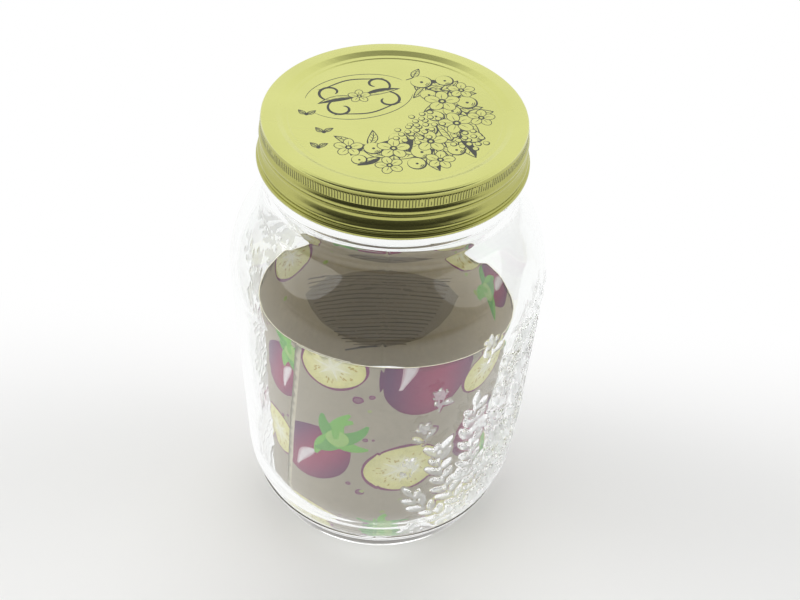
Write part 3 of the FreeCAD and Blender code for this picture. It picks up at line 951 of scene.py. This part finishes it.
def line_leaf(art, x, y, turn, length, width, filled, rng):
    """A leaf in line: an inked outline, an open or part-inked blade, and its veins."""
    place = turned(x, y, turn)
    bend = rng.uniform(-0.12, 0.12) * length

    def put(t, side):
        return place(length * t, side + bend * math.sin(math.pi * t))

    def arch(k):
        return math.sin(math.pi * (k / 10) ** 0.8) ** 0.9

    def blade(grow):
        edge = [(k / 10 * grow + (1 - grow) * 0.5, 0.5 * width * grow * arch(k)) for k in range(11)]
        return [put(t, side) for t, side in edge] + [put(t, -side) for t, side in edge[9:0:-1]]

    art.add(blade(1.0), "ink")
    art.add(blade(1.0 - 0.62 / width), "bare")
    if filled:
        art.add([put(k / 10, 0) for k in range(11)]
                + [put(k / 10, 0.44 * width * arch(k)) for k in range(9, 0, -1)], "ink")
    art.stroke([put(t, 0) for t in np.linspace(0, 0.92, 6)], 0.32, "ink")
    for t in (0.25, 0.42, 0.6):
        for side in ((-1,) if filled else (-1, 1)):
            vein = [put(t, 0), put(t + 0.09, side * 0.17 * width), put(t + 0.15, side * 0.30 * width)]
            art.stroke(vein, 0.22, "ink")


def line_fruit(art, x, y, size, rng):
    art.disc(x, y, size, "ink", count=22)
    art.disc(x - 0.07 * size, y + 0.07 * size, size - 0.34, "bare", count=22)
    a = rng.uniform(-1.2, -0.4)
    for k in range(3):
        d, reach = size * (0.86 - 0.17 * k), 0.75 - 0.15 * k
        art.stroke([around(x, y, d, a + t) for t in np.linspace(-reach, reach, 7)], 0.3, "ink")
    art.disc(x, y, 0.16 * size, "ink", count=8)


def line_blossom(art, x, y, size, rng):
    first = rng.random() * 6
    for k in range(5):
        a = first + 2 * math.pi * k / 5
        px, py = around(x, y, 0.58 * size, a)
        for inset, paint in ((0, "ink"), (0.25, "bare")):
            art.disc(px, py, 0.46 * size - inset, paint, ry=0.38 * size - inset, turn=a, count=16)
        line = [around(x, y, far * size, a + off) for far, off in ((0.25, 0), (0.45, 0.05), (0.7, 0))]
        art.stroke(line, 0.24, "ink")
    art.disc(x, y, 0.24 * size, "ink", count=12)
    art.disc(x, y, 0.11 * size, "bare", count=8)


def draw_lid():
    """A generic garland of leaves, round fruit and blossoms, and a plain flourish."""
    art, rng = Print(), random.Random(41)

    def polar(radius, azimuth):
        return around(0, 0, radius, math.radians(azimuth))

    stem_line = [polar(20.5 + 2.2 * math.sin(k * 0.9), 82 - k * 4.9) for k in range(44)]
    for k in range(0, 43, 6):
        art.stroke(stem_line[k:k + 8], 0.6, "ink", taper=0.6)
    for k in range(1, 43):
        (ax, ay), (bx, by) = stem_line[k - 1], stem_line[min(43, k + 1)]
        heading = math.atan2(by - ay, bx - ax)
        x, y = stem_line[k]
        thin = 0.72 + 0.28 * math.sin(math.pi * k / 43)
        side = 1 if k % 2 else -1
        line_leaf(art, x, y, heading + side * math.radians(rng.uniform(42, 75)),
                  rng.uniform(8.6, 11.2) * thin * (0.92 if side > 0 else 1.0), rng.uniform(3.6, 4.8) * thin,
                  rng.random() < 0.5, rng)
    for radius, azimuth, size in (
            (21, 68, 3.6), (26, 54, 3.0), (16, 50, 2.9), (24, 22, 3.4), (18, 12, 3.0), (12.5, 2, 2.8),
            (25.5, -22, 3.2), (12, -36, 3.6), (25.0, -42, 2.8), (20.5, -66, 3.3), (12.5, -84, 3.0),
            (25.5, -74, 2.9), (19, -108, 3.0), (26, -112, 2.4)):
        line_fruit(art, *polar(radius, azimuth), size, rng)
    for radius, azimuth, size in ((17, 32, 5.6), (26, 38, 4.4), (19, -8, 5.6), (26.4, 2, 4.4), (17, -50, 5.2),
                                  (26.0, -58, 4.4), (17.5, -90, 5.0), (26.0, -92, 4.2), (22.5, -126, 4.4)):
        line_blossom(art, *polar(radius, azimuth), size, rng)
    for cx, cy in (polar(9.5, -14), polar(11.0, -62), polar(25.0, -27)):
        for px, py in bunch(cx, cy, 1.5, 14):
            art.disc(px, py, 1.08, "ink", count=12)
            art.disc(px - 0.12, py + 0.12, 0.80, "bare", count=12)
    for x, y in ((-21, -11), (-27, -2), (-22, -19)):
        for side in (-1, 1):
            line_leaf(art, x, y, math.radians(90 + side * 50), 3.6, 1.9, False, rng)
        art.disc(x, y, 0.7, "ink", count=8)
    # A plain flourish of scrolls between two thin arcs, where the panel is otherwise bare.
    cx, cy, tilt, scale = -11.5, 9.5, math.radians(24), 1.3
    put = turned(cx, cy, tilt)

    def place(px, py):
        return put(scale * px, scale * py)

    for side in (-1, 1):
        art.stroke([place(13.4 * math.cos(a), side * 9.4 * math.sin(a)) for a in np.linspace(0.35, 2.8, 30)],
                   0.32, "ink")
        for turn in (-1, 1):
            scroll = []
            for t in np.linspace(0, 1, 34):
                a, r = 5.6 * t, 3.9 * (1 - 0.74 * t)
                scroll.append(place(side * (5.8 + r * math.sin(a)), turn * (3.0 - r * math.cos(a) + 0.6)))
            art.stroke(scroll, 0.95, "ink", taper=0.25)
        line_leaf(art, *place(side * 1.2, 0), tilt + (0 if side > 0 else math.pi), 12.4, 3.2, True, rng)
    for side in (-1, 1):
        art.stroke([place(8.6 * t, side * 6.6 + side * 0.9 * math.cos(3.1 * t)) for t in np.linspace(-1, 1, 18)],
                   0.62, "ink")
    line_blossom(art, cx, cy, 3.6, rng)
    return art


# The skirt's material and the knurl grooves' material are darker copies of the gold lacquer: painted shade.
PLAIN, INK, SHADED_SKIRT, LINING, GROOVE_SHADE = range(5)     # the lid's materials, in order


def build_lid():
    rings, coarse, lining = lid_outside()
    border = [around(0, 0, PANEL_R, math.radians(a)) for a in coarse]
    points, tris, paints = draw_lid().cut(border, 4.0)
    verts, faces = stitched(rings, close_end=TOP - PANEL_DROP - TIN)
    lining_start = sum(len(ring[0]) for ring in rings[:lining])
    faces = [f[::-1] for f in faces]
    kinds = []
    for face in faces:
        high = min(verts[i][2] for i in face)
        out = min(math.hypot(verts[i][0], verts[i][1]) for i in face)
        kind = LINING if min(face) >= lining_start else PLAIN
        # The skirt gets the darker lacquer copy as painted shade, and the faces in the knurl's grooves get a
        # still darker one as painted shade in the grooves.
        if kind == PLAIN and high < TOP - 0.9 and out > SKIRT_R - 0.6:
            kind = GROOVE_SHADE if TOP - 4.82 < high < TOP - 2.1 and out < SKIRT_R - 0.13 else SHADED_SKIRT
        kinds.append(kind)
    first = len(verts)
    rim = {}
    for i, (x, y) in enumerate(points):
        if math.hypot(x, y) > PANEL_R - 0.004:
            k = round((math.degrees(math.atan2(y, x)) % 360) * KNURLS / 360.0) % KNURLS
            if math.dist((x, y), border[k]) < 0.01:
                rim[i] = k
    used = sorted({i for tri in tris for i in tri if i not in rim})
    number = {i: first + n for n, i in enumerate(used)}
    number.update(rim)
    verts += [(*points[i], TOP - PANEL_DROP) for i in used]
    for tri, paint in zip(tris, paints):
        faces.append(tuple(number[i] for i in tri))
        kinds.append(INK if paint == "ink" else PLAIN)
    return new_object("gold_lid", verts, faces, mat_index=kinds,
                      mats=[lacquer_material("gold_lacquer", (0.72, 0.74, 0.26, 1), (0.66, 0.68, 0.225, 1)),
                            plain_material("lid_ink", 900.0, 0.6, srgb(44, 46, 44), srgb(66, 68, 58), 0.42),
                            # A darker copy of the lacquer for the skirt: painted shade.
                            lacquer_material("gold_skirt_painted_shade", (0.50, 0.50, 0.155, 1), (0.44, 0.44, 0.13, 1)),
                            plain_material("lid_lining", 60.0, 0.5, srgb(214, 212, 196), srgb(232, 230, 214),
                                           0.35),
                            # A much darker copy for the knurl's groove faces: painted shade in the grooves.
                            lacquer_material("gold_groove_painted_shade", (0.23, 0.23, 0.07, 1), (0.17, 0.17, 0.05, 1))])


# ------------------------------------------------------------------ pieces on the frame
glass = build_glass()
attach(glass, "root")
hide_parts("jar")

lid = build_lid()
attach(lid, "root")
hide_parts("lid")

sheet = build_sheet()
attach(sheet, "root")
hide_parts("sleeve")


# ------------------------------------------------------------------ floor and light
def floor_material():
    """Pale matt board that fades to plain white behind the object, and looks darker in front to the metal."""
    mat, tree, shader, place = material("floor_board")
    tree.put(shader, Base_Color=(0.86, 0.86, 0.852, 1), Roughness=0.9, Specular_IOR_Level=0.1)
    ahead = tree.add("SeparateXYZ", place).outputs["Y"]
    reach = tree.add("VectorMath", place, operation="LENGTH").outputs["Value"]
    away = tree.maths("MAXIMUM", tree.remap(ahead, -0.035, 0.085), tree.remap(reach, 0.16, 0.50))
    path = tree.add("LightPath").outputs
    seen = tree.maths("MAXIMUM", path["Is Camera Ray"], path["Is Transmission Ray"])
    board = tree.add("MixShader", tree.maths("MULTIPLY", seen, away), shader, tree.add("Emission", Strength=1.0))
    mirrored = tree.add("Emission", Strength=1.0, Color=tree.remap(ahead, -0.95, -0.35, 0.15, 1.0))
    tree.finish(tree.add("MixShader", path["Is Glossy Ray"], board, mirrored))
    return mat


FLOOR_SIZE = 3000.0
FLOOR_DROP = 0.00005
ring_angles = np.arange(0, 360, 6.0)
floor_rings = [even_ring(ring_angles, r, 0.0) for r in (120.0, 400.0, 1200.0, FLOOR_SIZE)]
floor_verts, floor_faces = stitched(floor_rings, close_start=0.0)
floor_faces = [f[::-1] for f in floor_faces]
floor = new_object("floor", floor_verts, floor_faces, smooth=False, mats=[floor_material()])
floor.location.z = -FLOOR_DROP
if floor.data.polygons[0].normal.z < 0:
    floor.data.flip_normals()


def world_light():
    """White to the eye and through glass; a dimmer soft light, stronger from the left, falls on the object.

    Metal and glass mirror white, but for a dark patch in front and a duller one overhead.
    """
    world = bpy.data.worlds.new("studio")
    bpy.context.scene.world = world
    tree = Tree(world)
    tree.nodes.clear()
    split = tree.add("SeparateXYZ", tree.add("TexCoord").outputs["Generated"]).outputs
    side = tree.remap(split["X"], -1.0, 1.0, 0.36, 0.16, smooth=False)
    front = tree.remap(split["Y"], -0.2, -0.55, 1.0, 0.06)
    zenith = tree.remap(split["Z"], 0.82, 0.96, 1.0, 0.35)
    seen, light, mirrored = [tree.add("Background", colour, 1.0) for colour in
                             ((1, 1, 1, 1), side, tree.maths("MULTIPLY", front, zenith))]
    path = tree.add("LightPath").outputs
    clear = tree.maths("MAXIMUM", path["Is Camera Ray"], path["Is Transmission Ray"])
    falling = tree.add("MixShader", path["Is Glossy Ray"], light, mirrored)
    tree.add("OutputWorld", Surface=tree.add("MixShader", clear, falling, seen))


world_light()


def area_light(name, azimuth, elevation, distance, size, power):
    lamp = bpy.data.lights.new(name, "AREA")
    lamp.shape, lamp.size, lamp.energy = "DISK", size, power
    obj = placed(name, lamp)
    a, e = math.radians(azimuth), math.radians(elevation)
    spot = Vector((math.cos(a) * math.cos(e), math.sin(a) * math.cos(e), math.sin(e))) * distance
    obj.location = Vector((0, 0, LAMP_AIM_Z)) + spot
    obj.rotation_euler = (-spot).to_track_quat("-Z", "Y").to_euler()
    obj.visible_glossy = False      # the pale surround is what the glass and the lid mirror


LAMP_AIM_Z = 0.09
area_light("front_lamp", -92.0, 66.0, 1.3, 0.35, 2.2)
area_light("back_panel", 84.0, 52.0, 1.2, 1.0, 4.6)
area_light("left_panel", 196.0, 36.0, 1.15, 1.2, 7.6)
area_light("right_panel", -14.0, 34.0, 1.15, 1.2, 5.4)


# ------------------------------------------------------------------ camera
CAM_DISTANCE = 0.3836       # from the middle of the jar
CAM_HEIGHT_ANGLE = 43.79    # degrees above the floor
CAM_AIM_Z = 0.084
CAM_DIP = 43.21             # degrees that the view looks down
CAM_HEADING = 1.02          # degrees to the right of straight ahead
CAM_ROLL = 3.53             # degrees, right side up
CAM_LENS = 48.09

camera_data = bpy.data.cameras.new("camera")
camera_data.sensor_width = 36.0
camera_data.lens = CAM_LENS
camera_data.clip_start = 0.01
camera = placed("camera", camera_data)
rise = math.radians(CAM_HEIGHT_ANGLE)
dip, heading, tip = math.radians(CAM_DIP), math.radians(CAM_HEADING), math.radians(CAM_ROLL)
forward = Vector((math.sin(heading) * math.cos(dip), math.cos(heading) * math.cos(dip), -math.sin(dip)))
level = Vector((math.cos(heading), -math.sin(heading), 0))
right = level * math.cos(tip) + level.cross(forward) * math.sin(tip)
upward = right.cross(forward)
pose = Matrix((right, upward, -forward)).transposed().to_4x4()
pose.translation = Vector((0, -math.cos(rise), math.sin(rise))) * CAM_DISTANCE + Vector((0, 0, CAM_AIM_Z))
camera.matrix_world = pose
bpy.context.scene.camera = camera

bpy.context.scene.view_settings.view_transform = "Standard"
